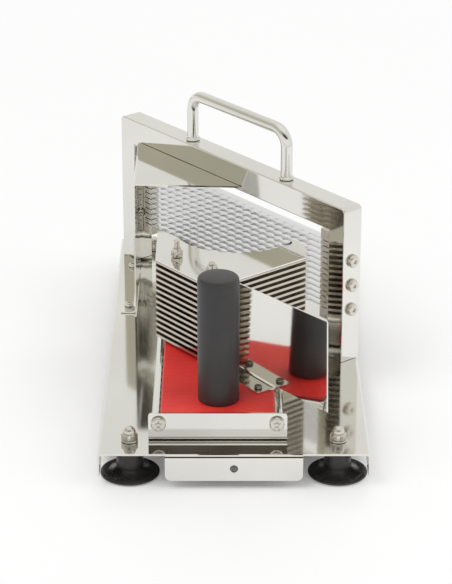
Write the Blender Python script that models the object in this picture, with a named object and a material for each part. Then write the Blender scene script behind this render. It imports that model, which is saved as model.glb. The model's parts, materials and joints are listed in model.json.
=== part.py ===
"""A hand-pushed tomato slicer: a V-shaped stack of notched plates on a red slider block runs on two rods
and carries the tomato through a diagonal stack of serrated blades, stretched in a polished steel frame.

Metres, +Z up. The origin is on the table under the middle of the base plate. +X is to the right and +Y
away from the person who pushes the grip.
"""

import math

import bmesh
import bpy
from mathutils import Matrix, Vector

# Clearances and shared hardware sizes
GAP = 0.0003
OVERRUN = 0.004
BORE_CLEARANCE = 0.0004

# Base plate
BASE_WIDTH = 0.200
BASE_LENGTH = 0.418
BASE_SHEET = 0.0015
BASE_TOP = 0.027
BASE_BEND = 0.003
SIDE_DROP = 0.018
FRONT_FLANGE_WIDTH = 0.101
FRONT_FLANGE_DROP = 0.0204
FLANGE_CORNER = 0.0045
FLANGE_HOLE_RADIUS = 0.0031
FLANGE_HOLE_DEPTH = 0.0105

# Suction feet and their studs
FOOT_RIM_RADIUS = 0.0222
FOOT_RIM_HEIGHT = 0.0018
FOOT_RIM_TUCK = 0.0030
FOOT_RIM_LAND = 0.0020
FOOT_RIM_EDGE = 0.0008
FOOT_NECK_RADIUS = 0.0100
FOOT_SHOULDER = 0.0065
FOOT_CUP_DEPTH = 0.0036
FRONT_FOOT_SIDE_INSET = 0.023
FRONT_FOOT_INSET = 0.0215
REAR_FOOT_SIDE_INSET = 0.030
REAR_FOOT_INSET = 0.025
FOOT_STUD_RADIUS = 0.0030
FOOT_WASHER_RADIUS = 0.0056
FOOT_WASHER_THICKNESS = 0.0014
FOOT_NUT_FLATS = 0.0108
FOOT_NUT_HEIGHT = 0.0048
FOOT_NUT_CAP_RADIUS = 0.0050
FOOT_NUT_CAP_HEIGHT = 0.0054

# Blade frame, set across the base
FRAME_ANGLE = math.radians(-51)
FRAME_CENTRE_X = -0.0055
FRAME_CENTRE_REAR = 0.1495
FRAME_LENGTH = 0.2896
FRAME_DEPTH = 0.0185
FRAME_HEIGHT = 0.130
FRAME_BAR = 0.022
FRAME_POST = 0.018
FRAME_WALL = 0.0015
FRAME_CORNER = 0.0040
PLUG_HEIGHT = 0.012
FRAME_BOLT_RADIUS = 0.0030
FRAME_BOLT_LENGTH = 0.012

# Blades and their stacks
BLADE_COUNT = 13
BLADE_PITCH = 0.0048
BLADE_THICKNESS = 0.0005
BLADE_FRONT = 0.0080
BLADE_WIDTH = 0.0095
BLADE_PLAIN_END = 0.0265
BLADE_END_INSET = 0.0035
SCALLOP_COUNT = 19
SCALLOP_DEPTH = 0.0013
SCALLOP_POINTS = 3
PIN_RADIUS = 0.0021
PIN_INSET = 0.0042
SPACER_WIDTH = 0.0084
HOLDER_LUG = 0.0045
HOLDER_BACK = 0.0024
TENSION_BACK = 0.0055
TENSION_GAP = 0.0052

# Bolts in the posts' end faces
END_BOLT_COUNT = 3
END_BOLT_PITCH = 0.0206
END_BOLT_LOWEST = 0.044
END_BOLT_RADIUS = 0.0025
END_BOLT_HEAD_RADIUS = 0.0053
END_BOLT_HEAD_HEIGHT = 0.0034

# Carry handle
HANDLE_SPAN = 0.1205
HANDLE_OFFSET = 0.0046
HANDLE_RADIUS = 0.0048
HANDLE_RISE = 0.0450
HANDLE_BEND = 0.0135
COLLAR_RADIUS = 0.0060
COLLAR_HEIGHT = 0.0024
HANDLE_SCREW_RADIUS = 0.0022
HANDLE_SCREW_HEAD_RADIUS = 0.0040
HANDLE_SCREW_HEAD_HEIGHT = 0.0030
HANDLE_SCREW_LENGTH = 0.015
HANDLE_ACCESS_RADIUS = 0.0052

# Hand guard fixed beside the blades
GUARD_SHEET = 0.0012
GUARD_WALL_X = -0.0816
GUARD_FRONT_REAR = 0.166
GUARD_FRONT_RAKE = 0.0065
GUARD_FRONT_SLANT = 0.0050
GUARD_TOP = 0.1125
GUARD_TOP_REACH = 0.0860
GUARD_FOOT_WIDTH = 0.0118
GUARD_BEND = 0.0018
GUARD_SCREW_INSET = 0.0055
GUARD_SCREW_FRONT = 0.0125
GUARD_SCREW_PITCH = 0.085
GUARD_SCREW_RADIUS = 0.0020
GUARD_SCREW_HEAD_RADIUS = 0.0037
GUARD_SCREW_HEAD_HEIGHT = 0.0030
GUARD_SCREW_LENGTH = 0.007

# Guide rods and their brackets
ROD_RADIUS = 0.0052
ROD_SPACING = 0.0872
ROD_CENTRE_X = -0.0119
ROD_HEIGHT = 0.0145
ROD_EDGE = 0.0004
BRACKET_SHEET = 0.0015
BRACKET_BEND = 0.0030
BRACKET_FRONT_INSET = 0.0211
BRACKET_SIDE = 0.0076
BRACKET_TOP = 0.0225
BRACKET_FOOT = 0.013
BRACKET_CORNER = 0.0025
ROD_SCREW_RADIUS = 0.0030
ROD_SCREW_LENGTH = 0.012
ROD_SCREW_HEAD_RADIUS = 0.0057
ROD_SCREW_HEAD_HEIGHT = 0.0030

# Slider block
SLIDER_WIDTH = 0.0838
SLIDER_TOP = 0.0224
SLIDER_BOTTOM = 0.0030
SLIDER_LENGTH = 0.143
SLIDER_EDGE = 0.0006
GROOVE_CLEARANCE = 0.00035

# Pusher: a stack of V-shaped plates with a slot between each two, its corner towards the grip
PUSHER_SHEET = 0.0012
PUSHER_CORNER_X = -0.0159
PUSHER_CORNER_FRONT = 0.0951
PUSHER_LEFT = 0.0709
PUSHER_RIGHT = 0.0933
PUSHER_BEND = 0.0030
PUSHER_SPACER_RADIUS = 0.0044
SLOT_COUNT = 14
SLOT_HEIGHT = 0.0028
SLOT_FIRST = 0.0021
SLOTS_UNDER_BLADES = 2

# Outline of the plates and the bolts that tie them to the slider
TOP_NOTCH_RADIUS = 0.0505
TOP_NOTCH_U = -0.0797
TOP_NOTCH_V = 0.0889
TOP_LEFT_HORN_V = 0.0405
TOP_RIGHT_HORN_V = 0.1090
TOP_NOTCH_STEPS = 16
TOP_BOLT_BACK = 0.0161
TOP_BOLT_LEFT_INSET = 0.0066
TOP_BOLT_PITCH = 0.0436
TOP_BOLT_RADIUS = 0.0024
TOP_BOLT_RISES = (0.0137, 0.0095)
TOP_BOLT_SEAT = 0.0130
TOP_BOLT_EDGE = 0.0005
TOP_NUT_FLATS = 0.0080
TOP_NUT_HEIGHT = 0.0050
TOP_NUT_CROWN_RADIUS = 0.0036
TOP_NUT_CROWN_HEIGHT = 0.0020

# Mirror-bright hand plate behind the grip, placed from the pusher's corner and turned a little
PLATE_SHEET = 0.0012
PLATE_U = 0.0024
PLATE_V = 0.0179
PLATE_TURN = math.radians(-2.9)
PLATE_LEAN = math.radians(1.5)
PLATE_LENGTH = 0.1155
PLATE_RIGHT_SLANT = 0.0041
PLATE_LEFT_HEIGHT = 0.0689
PLATE_RIGHT_HEIGHT = 0.0760
PLATE_RIGHT_RISE = 0.0057
PLATE_BEND = 0.0016
TAB_DEPTH = 0.0155
TAB_LENGTH = 0.0528
TAB_SCREW_FRONT = 0.0052
TAB_SCREW_LEFT = 0.0074
TAB_SCREW_PITCH = 0.0386
SMALL_SCREW_RADIUS = 0.0018
SMALL_SCREW_LENGTH = 0.010
SMALL_SCREW_HEAD_RADIUS = 0.0031
SMALL_SCREW_HEAD_HEIGHT = 0.0022

# Grip
GRIP_RADIUS = 0.0155
GRIP_HEIGHT = 0.0996
GRIP_X = -0.0114
GRIP_FRONT = 0.0468
GRIP_DOME = 0.0035
GRIP_DOME_SHARES = ((0.30, 0.45), (1.00, 0.12))
GRIP_FOOT_ROUND = 0.0010
GRIP_BOLT_RADIUS = 0.0040
GRIP_BOLT_REACH = 0.034
GRIP_BOLT_HEAD_RADIUS = 0.0065
GRIP_BOLT_HEAD_HEIGHT = 0.0060
GRIP_BOLT_COUNTERBORE = 0.0070

# Shapes of screw heads and of nuts, as shares of their radius and height
HEAD_CROWN_SHARE = 0.55
HEAD_SHOULDER_SHARE = 0.45
HEAD_SOCKET_SHARE = 0.30
LOCKING_CROWN_SHARES = ((1.00, 0.60), (0.88, 1.00))
CAP_SHARES = ((1.00, 0.40), (0.84, 0.78), (0.45, 1.00))

# Facet counts
ROUND = 24
SMALL_ROUND = 12
HANDLE_FACETS = 16
ROD_FACETS = 20
BEND_STEPS = 4
SMOOTH_ANGLE = math.radians(35)

BASE_FRONT_Y = -BASE_LENGTH / 2
BASE_REAR_Y = BASE_LENGTH / 2
FRAME_CENTRE_Y = BASE_REAR_Y - FRAME_CENTRE_REAR
GUARD_FRONT_Y = BASE_REAR_Y - GUARD_FRONT_REAR
PUSHER_CORNER_Y = BASE_FRONT_Y + PUSHER_CORNER_FRONT
GRIP_Y = BASE_FRONT_Y + GRIP_FRONT
BRACKET_WIDTH = ROD_SPACING + 2 * BRACKET_SIDE
SLIDER_TOP_Z = BASE_TOP + SLIDER_TOP
PUSHER_BOTTOM_Z = SLIDER_TOP_Z + GAP
PUSHER_TOP_Z = PUSHER_BOTTOM_Z + (SLOT_COUNT - 1) * BLADE_PITCH + SLOT_FIRST + SLOT_HEIGHT / 2 + PUSHER_SHEET + GAP
BLADE_LOWEST_Z = PUSHER_BOTTOM_Z + SLOT_FIRST + SLOTS_UNDER_BLADES * BLADE_PITCH


# Materials

def material(name, colour, roughness, metallic):
    made = bpy.data.materials.new(name)
    made.use_nodes = True
    shader = made.node_tree.nodes["Principled BSDF"]
    shader.inputs["Base Color"].default_value = (*colour, 1)
    shader.inputs["Roughness"].default_value = roughness
    shader.inputs["Metallic"].default_value = metallic
    made.diffuse_color = (*colour, 1)
    return made


FINISHES = {
    "polished": ((0.80, 0.79, 0.76), 0.12, 1.0),
    "blade": ((0.74, 0.74, 0.75), 0.30, 1.0),
    "fastener": ((0.70, 0.69, 0.66), 0.25, 1.0),
    "dark_fastener": ((0.10, 0.10, 0.09), 0.45, 1.0),
    "rubber": ((0.02, 0.02, 0.02), 0.35, 0.0),
    "grip": ((0.04, 0.04, 0.04), 0.50, 0.0),
    "red_plastic": ((0.60, 0.03, 0.03), 0.45, 0.0),
}


# Objects and frames

def remove_everything():
    for old in list(bpy.data.objects):
        bpy.data.objects.remove(old, do_unlink=True)


def empty(name, location, angle=0.0, parent=None):
    made = bpy.data.objects.new(name, None)
    bpy.context.collection.objects.link(made)
    made.location = location
    made.rotation_euler = (0, 0, angle)
    made.parent = parent
    return made


def face_outwards(bm):
    bmesh.ops.recalc_face_normals(bm, faces=bm.faces)
    if bm.calc_volume(signed=True) < 0:
        bmesh.ops.reverse_faces(bm, faces=bm.faces)


def finish(name, bm, finish_name, parent, location=(0, 0, 0)):
    """Makes the object of one sub-part from its bmesh, with its own material."""
    face_outwards(bm)
    mesh = bpy.data.meshes.new(name)
    bm.to_mesh(mesh)
    bm.free()
    mesh.shade_smooth()
    mesh.set_sharp_from_angle(angle=SMOOTH_ANGLE)
    mesh.materials.append(material(name, *FINISHES[finish_name]))
    made = bpy.data.objects.new(name, mesh)
    bpy.context.collection.objects.link(made)
    made.parent = parent
    made.location = location
    return made


def apply_modifiers(target):
    """Replaces the object's mesh by what its modifiers make of it."""
    graph = bpy.context.evaluated_depsgraph_get()
    made = bpy.data.meshes.new_from_object(target.evaluated_get(graph))
    old = target.data
    target.modifiers.clear()
    target.data = made
    bpy.data.meshes.remove(old)


def cut(target, cutter_bm, operation="DIFFERENCE"):
    """Takes the cutter's volume, given in the target's own frame, out of the target, or adds it."""
    face_outwards(cutter_bm)
    mesh = bpy.data.meshes.new("cutter")
    cutter_bm.to_mesh(mesh)
    cutter_bm.free()
    cutter = bpy.data.objects.new("cutter", mesh)
    bpy.context.collection.objects.link(cutter)
    cutter.parent = target.parent
    cutter.location = target.location
    change = target.modifiers.new("cut", "BOOLEAN")
    change.operation = operation
    change.solver = "EXACT"
    change.object = cutter
    apply_modifiers(target)
    bpy.data.objects.remove(cutter, do_unlink=True)


def sheet_from(bm, name, parent, thickness, look, location=(0, 0, 0)):
    """Makes a bent sheet from its outer skin; the widest face that lies across the look direction faces it."""
    bmesh.ops.recalc_face_normals(bm, faces=bm.faces)
    widest = max(bm.faces, key=lambda face: abs(face.normal.dot(look)) * face.calc_area())
    if widest.normal.dot(look) < 0:
        bmesh.ops.reverse_faces(bm, faces=bm.faces)
    mesh = bpy.data.meshes.new(name)
    bm.to_mesh(mesh)
    bm.free()
    made = bpy.data.objects.new(name, mesh)
    bpy.context.collection.objects.link(made)
    made.parent = parent
    made.location = location
    change = made.modifiers.new("sheet", "SOLIDIFY")
    change.thickness = thickness
    change.offset = -1
    change.use_even_offset = True
    apply_modifiers(made)
    return made


# Shapes

def circle(radius, count, centre=(0, 0)):
    turn = 2 * math.pi / count
    return [(centre[0] + radius * math.cos(turn * i), centre[1] + radius * math.sin(turn * i)) for i in range(count)]


def arc(centre, radius, start, end, steps):
    """Points of an arc from the start to the end angle, both included."""
    step = (end - start) / steps
    return [
        (centre[0] + radius * math.cos(start + step * i), centre[1] + radius * math.sin(start + step * i))
        for i in range(steps + 1)
    ]


def plate(bm, outline, holes, low, high):
    """A flat plate between two heights, with an outline and holes given as points in plan."""
    edges = []
    for loop in [outline, *holes]:
        verts = [bm.verts.new((x, y, low)) for x, y in loop]
        edges += [bm.edges.new((verts[i - 1], verts[i])) for i in range(len(verts))]
    filled = bmesh.ops.triangle_fill(bm, use_beauty=True, use_dissolve=False, edges=edges)
    faces = [part for part in filled["geom"] if isinstance(part, bmesh.types.BMFace)]
    raised = bmesh.ops.extrude_face_region(bm, geom=faces)
    verts = [part for part in raised["geom"] if isinstance(part, bmesh.types.BMVert)]
    bmesh.ops.translate(bm, vec=(0, 0, high - low), verts=verts)


def turned(bm, profile, count, matrix=Matrix()):
    """A solid turned about Z from points of radius and height, from axis to axis."""
    rings = []
    for radius, height in profile:
        if radius == 0:
            rings.append([bm.verts.new(matrix @ Vector((0, 0, height)))])
        else:
            rings.append([bm.verts.new(matrix @ Vector((x, y, height))) for x, y in circle(radius, count)])
    for below, above in zip(rings, rings[1:]):
        for i in range(count):
            k = (i + 1) % count
            corners = [below[i % len(below)], below[k % len(below)], above[k % len(above)], above[i % len(above)]]
            corners = list(dict.fromkeys(corners))
            if len(corners) > 2:
                bm.faces.new(corners)


def cylinder(bm, radius, low, high, count, matrix=Matrix()):
    turned(bm, [(0, low), (radius, low), (radius, high), (0, high)], count, matrix)


def button_screw(bm, head_radius, head_height, shank_radius, length, matrix):
    """A domed screw: its head rises from the face at height 0 and its shank goes down."""
    crown = head_radius * HEAD_CROWN_SHARE
    shoulder = head_height * HEAD_SHOULDER_SHARE
    socket = head_radius * HEAD_SOCKET_SHARE
    profile = [
        (0, -length),
        (shank_radius, -length),
        (shank_radius, 0),
        (head_radius, 0),
        (head_radius, shoulder),
        (crown, head_height),
        (socket, head_height),
        (socket, shoulder),
        (0, shoulder),
    ]
    turned(bm, profile, SMALL_ROUND, matrix)


def hex_nut(bm, flats, heights, above, below):
    """A six-sided nut between two heights, without its ends: these are rings of radius and height.

    The rings above begin on the hexagon's upper face, the rings below end on its lower face."""
    low, high = heights
    lower = [bm.verts.new((x, y, low)) for x, y in circle(flats / math.sqrt(3), 6)]
    upper = [bm.verts.new((x, y, high)) for x, y in circle(flats / math.sqrt(3), 6)]
    above = [[bm.verts.new((x, y, z)) for x, y in circle(radius, SMALL_ROUND)] for radius, z in above]
    below = [[bm.verts.new((x, y, z)) for x, y in circle(radius, SMALL_ROUND)] for radius, z in below]
    for i in range(6):
        k = (i + 1) % 6
        bm.faces.new([lower[i], lower[k], upper[k], upper[i]])
        for hexagon, rim in ((upper, above[0]), (lower, below[-1])):
            a, b, c = 2 * i, 2 * i + 1, (2 * i + 2) % SMALL_ROUND
            bm.faces.new([hexagon[i], rim[b], rim[a]])
            bm.faces.new([hexagon[i], hexagon[k], rim[b]])
            bm.faces.new([hexagon[k], rim[c], rim[b]])
    join_rings(bm, above)
    join_rings(bm, below)
    return above[-1], below[0]


def locking_nut(bm, flats, bore, heights, crown):
    """A nut with a through bore and a round locking crown, given as its radius and height."""
    low, high = heights
    radius, rise = crown
    above = [(radius, high)] + [(radius * across, high + rise * up) for across, up in LOCKING_CROWN_SHARES]
    join_rings(bm, hex_nut(bm, flats, heights, above, [(bore, high + rise), (bore, low)]))


def cap_nut(bm, flats, bore, heights, cap, flange):
    """A domed nut on a round flange, closed above; cap and flange are given as radius and height."""
    low, high = heights
    radius, rise = cap
    bottom = low - flange[1]
    above = [(radius, high)] + [(radius * across, high + rise * up) for across, up in CAP_SHARES]
    below = [(bore, high + GAP), (bore, bottom), (flange[0], bottom), (flange[0], low)]
    for ring in hex_nut(bm, flats, heights, above, below):
        bm.faces.new(ring)


def join_rings(bm, rings):
    for below, above in zip(rings, rings[1:]):
        for i in range(len(below)):
            k = (i + 1) % len(below)
            bm.faces.new([below[i], below[k], above[k], above[i]])


def swept(bm, path, count):
    """A round bar along points that lie in the XZ plane, each with its radius, with flat ends."""
    rings = []
    for i, (point, radius) in enumerate(path):
        before = path[max(i - 1, 0)][0]
        after = path[min(i + 1, len(path) - 1)][0]
        ahead = (Vector(after) - Vector(before)).normalized()
        side = Vector((0, 1, 0))
        up = ahead.cross(side)
        rings.append([bm.verts.new(Vector(point) + side * x + up * y) for x, y in circle(radius, count)])
    join_rings(bm, rings)
    bm.faces.new(rings[0])
    bm.faces.new(rings[-1])


def facing(point, direction):
    """The matrix that stands a turned shape at a point with its Z along a direction."""
    return Matrix.Translation(point) @ Vector(direction).to_track_quat("Z", "Y").to_matrix().to_4x4()


# Base plate

def foot_spots():
    front = (BASE_WIDTH / 2 - FRONT_FOOT_SIDE_INSET, BASE_FRONT_Y + FRONT_FOOT_INSET)
    rear = (BASE_WIDTH / 2 - REAR_FOOT_SIDE_INSET, BASE_REAR_Y - REAR_FOOT_INSET)
    return {
        "front_left": (-front[0], front[1]),
        "front_right": front,
        "rear_left": (-rear[0], rear[1]),
        "rear_right": rear,
    }


def frame_point(u, v):
    """A plan point of the blade frame's own axes, in the base's axes."""
    x = FRAME_CENTRE_X + u * math.cos(FRAME_ANGLE) - v * math.sin(FRAME_ANGLE)
    y = FRAME_CENTRE_Y + u * math.sin(FRAME_ANGLE) + v * math.cos(FRAME_ANGLE)
    return (x, y)


def post_middles():
    middle = (FRAME_LENGTH - FRAME_POST) / 2
    return [(-middle, FRAME_DEPTH / 2), (middle, FRAME_DEPTH / 2)]


def guard_screw_spots():
    x = GUARD_WALL_X - GUARD_SCREW_INSET
    y = GUARD_FRONT_Y + GUARD_SCREW_FRONT
    return [(x, y), (x, y + GUARD_SCREW_PITCH)]


def make_base_plate(chassis):
    half = BASE_WIDTH / 2
    bend = BASE_BEND
    section = [(-half, BASE_TOP - SIDE_DROP)]
    section += arc((-half + bend, BASE_TOP - bend), bend, math.pi, math.pi / 2, BEND_STEPS)
    section += [(-FRONT_FLANGE_WIDTH / 2, BASE_TOP), (FRONT_FLANGE_WIDTH / 2, BASE_TOP)]
    section += arc((half - bend, BASE_TOP - bend), bend, math.pi / 2, 0, BEND_STEPS)
    section += [(half, BASE_TOP - SIDE_DROP)]
    bm = bmesh.new()
    rows = [[bm.verts.new((x, y, z)) for x, z in section] for y in (-BASE_LENGTH / 2, BASE_LENGTH / 2)]
    for i in range(len(section) - 1):
        bm.faces.new([rows[0][i], rows[0][i + 1], rows[1][i + 1], rows[1][i]])
    left = section.index((-FRONT_FLANGE_WIDTH / 2, BASE_TOP))
    for row, sign in ((rows[0], -1), (rows[1], 1)):
        add_end_flange(bm, row[left], row[left + 1], sign)
    made = sheet_from(bm, "base_plate", chassis, BASE_SHEET, Vector((0, 0, 1)))
    drill_base(made)
    dress(made, "polished")
    return made


def add_end_flange(bm, left, right, sign):
    """Bends a tongue with round corners down from an end of the base plate."""
    y = sign * BASE_LENGTH / 2
    half = FRONT_FLANGE_WIDTH / 2
    edge = (left, right)
    for out, z in arc((0, BASE_TOP - BASE_BEND), BASE_BEND, math.pi / 2, 0, BEND_STEPS)[1:]:
        row = tuple(bm.verts.new((x, y + sign * out, z)) for x in (-half, half))
        bm.faces.new([edge[0], edge[1], row[1], row[0]])
        edge = row
    low = BASE_TOP - FRONT_FLANGE_DROP
    corner = FLANGE_CORNER
    outline = arc((half - corner, low + corner), corner, 0, -math.pi / 2, BEND_STEPS)
    outline += arc((-half + corner, low + corner), corner, -math.pi / 2, -math.pi, BEND_STEPS)
    lower = [bm.verts.new((x, y + sign * BASE_BEND, z)) for x, z in outline]
    bm.faces.new([edge[0], edge[1], *lower])


def drill_base(base):
    bm = bmesh.new()
    low = BASE_TOP - BASE_SHEET - OVERRUN
    high = BASE_TOP + OVERRUN
    round_holes = [(spot, FOOT_STUD_RADIUS) for spot in foot_spots().values()]
    round_holes += [(frame_point(*spot), FRAME_BOLT_RADIUS) for spot in post_middles()]
    round_holes += [(spot, GUARD_SCREW_RADIUS) for spot in guard_screw_spots()]
    for (x, y), radius in round_holes:
        cylinder(bm, radius + BORE_CLEARANCE, low, high, SMALL_ROUND, Matrix.Translation((x, y, 0)))
    flange_y = BASE_FRONT_Y - BASE_BEND
    across = facing((0, flange_y, BASE_TOP - FLANGE_HOLE_DEPTH), (0, -1, 0))
    cylinder(bm, FLANGE_HOLE_RADIUS, -OVERRUN, OVERRUN, SMALL_ROUND, across)
    cut(base, bm)


def dress(target, finish_name):
    """Shades an object whose mesh came from modifiers, and gives it its own material."""
    mesh = target.data
    mesh.shade_smooth()
    mesh.set_sharp_from_angle(angle=SMOOTH_ANGLE)
    mesh.materials.clear()
    mesh.materials.append(material(target.name, *FINISHES[finish_name]))


# Feet

def foot_stud_top():
    return BASE_TOP + GAP + FOOT_WASHER_THICKNESS + FOOT_NUT_HEIGHT


def make_feet(chassis):
    """Hollow suction cups, each moulded on the stud that stands up through the base plate."""
    rim = FOOT_RIM_RADIUS
    neck = FOOT_NECK_RADIUS
    land = rim - FOOT_RIM_TUCK
    top = BASE_TOP - BASE_SHEET - GAP
    profile = [
        (0, FOOT_CUP_DEPTH),
        (neck, FOOT_CUP_DEPTH),
        (land - FOOT_RIM_LAND, 0),
        (land, 0),
        (rim, FOOT_RIM_HEIGHT),
        (rim - FOOT_RIM_EDGE, FOOT_RIM_HEIGHT + FOOT_RIM_EDGE),
        (neck, FOOT_SHOULDER),
        (neck, top),
        (FOOT_STUD_RADIUS, top),
        (FOOT_STUD_RADIUS, foot_stud_top()),
        (0, foot_stud_top()),
    ]
    for place, (x, y) in foot_spots().items():
        bm = bmesh.new()
        turned(bm, profile, ROUND)
        finish("suction_foot_" + place, bm, "rubber", chassis, (x, y, 0))


def make_foot_nuts(chassis):
    low = BASE_TOP + GAP + FOOT_WASHER_THICKNESS
    bore = FOOT_STUD_RADIUS + BORE_CLEARANCE
    cap = (FOOT_NUT_CAP_RADIUS, FOOT_NUT_CAP_HEIGHT)
    flange = (FOOT_WASHER_RADIUS, FOOT_WASHER_THICKNESS)
    for place, (x, y) in foot_spots().items():
        bm = bmesh.new()
        cap_nut(bm, FOOT_NUT_FLATS, bore, (low, low + FOOT_NUT_HEIGHT), cap, flange)
        finish("foot_nut_" + place, bm, "fastener", chassis, (x, y, 0))


# Blade frame

def portal(half, post, top, bar, corner, low):
    """The outline of an upside-down U in its own plane, with round outer corners."""
    points = [(-half, low)]
    points += arc((-half + corner, top - corner), corner, math.pi, math.pi / 2, BEND_STEPS)
    points += arc((half - corner, top - corner), corner, math.pi / 2, 0, BEND_STEPS)
    points += [(half, low), (half - post, low), (half - post, top - bar), (-half + post, top - bar), (-half + post, low)]
    return points


def standing_plate(bm, outline, front, back):
    """A plate between two depths, its outline given as width and height."""
    start = len(bm.verts)
    plate(bm, outline, [], 0, back - front)
    bm.verts.ensure_lookup_table()
    for vert in bm.verts[start:]:
        x, z, depth = vert.co
        vert.co = (x, front + depth, z)


def make_blade_frame(blade_set):
    """A bent square tube with a threaded block welded into the foot of each post."""
    half = FRAME_LENGTH / 2
    wall = FRAME_WALL
    bm = bmesh.new()
    standing_plate(bm, portal(half, FRAME_POST, FRAME_HEIGHT, FRAME_BAR, FRAME_CORNER, GAP), 0, FRAME_DEPTH)
    frame = finish("blade_frame", bm, "polished", blade_set)
    drill_frame(frame)
    hollow = bmesh.new()
    top = FRAME_HEIGHT - wall
    inner = portal(half - wall, FRAME_POST - 2 * wall, top, FRAME_BAR - 2 * wall, FRAME_CORNER / 2, PLUG_HEIGHT)
    standing_plate(hollow, inner, wall, FRAME_DEPTH - wall)
    cut(frame, hollow)
    dress(frame, "polished")


def end_bolt_heights():
    return [END_BOLT_LOWEST + i * END_BOLT_PITCH for i in range(END_BOLT_COUNT)]


def holder_bolt_heights():
    return end_bolt_heights()[::2]


def handle_feet():
    return [HANDLE_OFFSET - HANDLE_SPAN / 2, HANDLE_OFFSET + HANDLE_SPAN / 2]


def drill_frame(frame):
    """Holes for the end bolts, for the bolts under the posts and for the handle's screws."""
    half = FRAME_LENGTH / 2
    depth = FRAME_DEPTH / 2
    top = FRAME_HEIGHT
    middle = FRAME_HEIGHT - FRAME_BAR / 2
    bm = bmesh.new()
    for sign, heights in ((-1, holder_bolt_heights()), (1, end_bolt_heights())):
        for z in heights:
            across = facing((sign * half, depth, z), (sign, 0, 0))
            cylinder(bm, END_BOLT_RADIUS + BORE_CLEARANCE, -FRAME_POST - OVERRUN, OVERRUN, SMALL_ROUND, across)
    for u, v in post_middles():
        at = Matrix.Translation((u, v, 0))
        cylinder(bm, FRAME_BOLT_RADIUS + BORE_CLEARANCE, -OVERRUN, PLUG_HEIGHT + OVERRUN, SMALL_ROUND, at)
    for u in handle_feet():
        at = Matrix.Translation((u, depth, 0))
        cylinder(bm, HANDLE_SCREW_RADIUS + BORE_CLEARANCE, middle - OVERRUN, top + OVERRUN, SMALL_ROUND, at)
    cut(frame, bm)
    bm = bmesh.new()
    for u in handle_feet():
        at = Matrix.Translation((u, depth, 0))
        cylinder(bm, HANDLE_ACCESS_RADIUS, top - FRAME_BAR - OVERRUN, middle, SMALL_ROUND, at)
    cut(frame, bm)


def make_frame_bolts(chassis):
    """The bolts that hold the posts down from under the base plate."""
    head = (2 * FRAME_BOLT_RADIUS, FRAME_BOLT_RADIUS)
    for side, spot in zip(("left", "right"), post_middles()):
        bm = bmesh.new()
        button_screw(bm, *head, FRAME_BOLT_RADIUS, FRAME_BOLT_LENGTH, facing((0, 0, 0), (0, 0, -1)))
        x, y = frame_point(*spot)
        finish("frame_bolt_" + side, bm, "fastener", chassis, (x, y, BASE_TOP - BASE_SHEET - GAP))


# Blades and what stretches them

def blade_span():
    """Both ends of the blades along the frame: the left one seats on its holder, the right one on the tension block."""
    inner = FRAME_LENGTH / 2 - FRAME_POST
    left = -inner + GAP + HOLDER_BACK + GAP
    right = inner - TENSION_GAP - TENSION_BACK - GAP
    return (left, right)


def pin_spots():
    left, right = blade_span()
    return (left + PIN_INSET, right - PIN_INSET)


def blade_outline():
    left, right = blade_span()
    front = BLADE_FRONT
    back = front + BLADE_WIDTH
    first = left + BLADE_PLAIN_END
    pitch = (right - left - 2 * BLADE_PLAIN_END) / SCALLOP_COUNT
    points = [(left, back), (left, front + SCALLOP_DEPTH), (first, front + SCALLOP_DEPTH)]
    for i in range(SCALLOP_COUNT):
        for k in range(1, SCALLOP_POINTS + 1):
            share = k / SCALLOP_POINTS
            reach = SCALLOP_DEPTH * math.sin(math.pi * share)
            points.append((first + (i + share) * pitch, front + SCALLOP_DEPTH - reach))
    points += [(right, front + SCALLOP_DEPTH), (right, back)]
    return points


def blade_height(index):
    return BLADE_LOWEST_Z - BASE_TOP + index * BLADE_PITCH


def make_blades(blade_set):
    middle = BLADE_FRONT + SCALLOP_DEPTH + (BLADE_WIDTH - SCALLOP_DEPTH) / 2
    for index in range(BLADE_COUNT):
        bm = bmesh.new()
        holes = [circle(PIN_RADIUS + BORE_CLEARANCE, SMALL_ROUND, (u, middle)) for u in pin_spots()]
        low = -BLADE_THICKNESS / 2
        plate(bm, blade_outline(), holes, low, -low)
        finish(f"blade_{index + 1:02d}", bm, "blade", blade_set, (0, 0, blade_height(index)))


def make_holders(blade_set):
    """Slotted blocks that take the blade ends: the left one sits on its post, the right one hangs on its bolts."""
    left, right = blade_span()
    inner = FRAME_LENGTH / 2 - FRAME_POST
    pins = pin_spots()
    make_holder(blade_set, "left_blade_holder", (-inner + GAP, left, left + SPACER_WIDTH), pins[0], holder_bolt_heights())
    stations = (inner - TENSION_GAP, right, right - SPACER_WIDTH)
    make_holder(blade_set, "tension_block", stations, pins[1], end_bolt_heights())


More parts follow.
